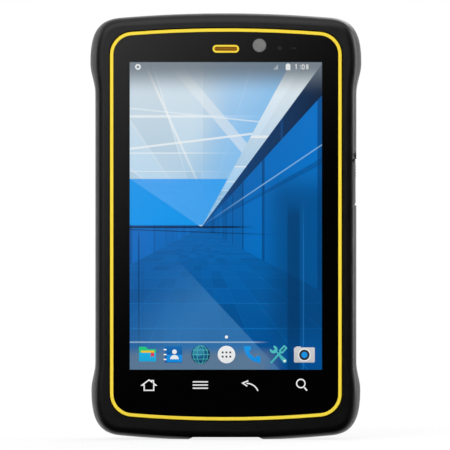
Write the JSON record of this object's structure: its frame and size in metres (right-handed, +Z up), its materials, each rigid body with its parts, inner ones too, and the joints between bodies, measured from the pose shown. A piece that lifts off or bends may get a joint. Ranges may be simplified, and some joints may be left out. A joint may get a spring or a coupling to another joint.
{
  "type": "rugged handheld computer",
  "caption": "Portrait rugged tablet computer with a rubber boot that swells at the corners, a yellow trim ring, touch glass over a lit screen, side keys and a hinged port door.",
  "frame": {"origin": "middle of the underside, on the plane of the feet", "axes": "+Z up along the height, +X to the right seen from the screen side, +Y to the back, so the screen faces -Y"},
  "size_m": [0.1332, 0.02, 0.2092],
  "materials": {
    "bumper_rubber": "matt moulded rubber",
    "yellow_trim": "satin moulded plastic",
    "touch_glass": "polished glass",
    "black_print": "black ink seen through glass",
    "sensor_ink": "dark clear ink",
    "clear_tape": "foam tape",
    "clear_film": "polyimide film",
    "black_mesh": "perforated steel, dark",
    "grey_window": "satin grey window",
    "module_black": "moulded plastic",
    "housing_black": "textured plastic",
    "screen": "display pane",
    "sheet_steel": "stamped sheet",
    "cast_light_metal": "die cast",
    "silicone": "soft silicone",
    "screw_steel": "black zinc",
    "bright_screw_steel": "nickel plated",
    "insert_brass": "turned brass",
    "battery_wrap": "shrink wrap",
    "circuit_board": "solder mask",
    "lens_glass": "coated glass",
    "flash_clear": "moulded clear lens",
    "dock_black": "moulded plastic",
    "gold_plate": "gold plated",
    "key_rubber": "moulded rubber over plastic",
    "antenna_copper": "copper on film"
  },
  "bodies": {
    "housing": {"bumper": "bumper_rubber", "trim_ring": "yellow_trim", "cover_glass": "touch_glass", "glass_print": "black_print", "sensor_spots": "sensor_ink", "glass_tape": "clear_tape", "touch_key_film": "clear_film", "earpiece_rim": "yellow_trim", "earpiece_mesh": "black_mesh", "earpiece_receiver": "module_black", "front_camera_window": "grey_window", "front_camera_module": "module_black", "sensor_board": "circuit_board", "front_housing": "housing_black", "display_panel": "screen", "display_backlight": "sheet_steel", "display_flex": "clear_film", "mid_frame": "cast_light_metal", "housing_gasket": "silicone", "rear_cover": "housing_black", "housing_screws": "screw_steel", "strap_inserts": "insert_brass", "battery_pack": "battery_wrap", "battery_cover": "housing_black", "battery_seal": "silicone", "battery_cover_screws": "screw_steel", "battery_contacts": "module_black", "main_board": "circuit_board", "board_screws": "bright_screw_steel", "shield_cans": "sheet_steel", "card_socket": "sheet_steel", "usb_socket": "sheet_steel", "hdmi_socket": "sheet_steel", "door_pin": "bright_screw_steel", "left_key_board": "circuit_board", "right_key_board": "circuit_board", "rear_camera_ring": "cast_light_metal", "rear_camera_glass": "lens_glass", "rear_camera_module": "module_black", "flash_lens": "flash_clear", "loudspeakers": "module_black", "motor_bracket": "module_black", "vibration_motor": "sheet_steel", "dock_connector": "dock_black", "dock_contacts": "gold_plate", "antennas": "antenna_copper"},
    "power_key": {"power_key": "key_rubber"},
    "volume_up_key": {"volume_up_key": "key_rubber"},
    "volume_down_key": {"volume_down_key": "key_rubber"},
    "function_key": {"function_key": "key_rubber"},
    "port_door": {"port_door": "bumper_rubber", "door_seal": "silicone"},
    "vibration_weight": {"vibration_weight": "sheet_steel"}
  },
  "joints": [
    {"name": "power_key_press", "type": "slide", "parent": "housing", "child": "power_key", "axis": [-1, 0, 0], "range_m": [0, 0.0005], "stiffness_N_per_m": 800},
    {"name": "volume_up_key_press", "type": "slide", "parent": "housing", "child": "volume_up_key", "axis": [1, 0, 0], "range_m": [0, 0.0005], "stiffness_N_per_m": 800},
    {"name": "volume_down_key_press", "type": "slide", "parent": "housing", "child": "volume_down_key", "axis": [1, 0, 0], "range_m": [0, 0.0005], "stiffness_N_per_m": 800},
    {"name": "function_key_press", "type": "slide", "parent": "housing", "child": "function_key", "axis": [1, 0, 0], "range_m": [0, 0.0005], "stiffness_N_per_m": 800},
    {"name": "port_door_swing", "type": "hinge", "parent": "housing", "child": "port_door", "pos_m": [0.0627, 0, 0.11626], "axis": [0, 1, 0], "range_deg": [0, 95]},
    {"name": "vibration_weight_spin", "type": "hinge", "parent": "housing", "child": "vibration_weight", "pos_m": [0.03664, -0.00155, 0.19445], "axis": [1, 0, 0], "continuous": true}
  ]
}
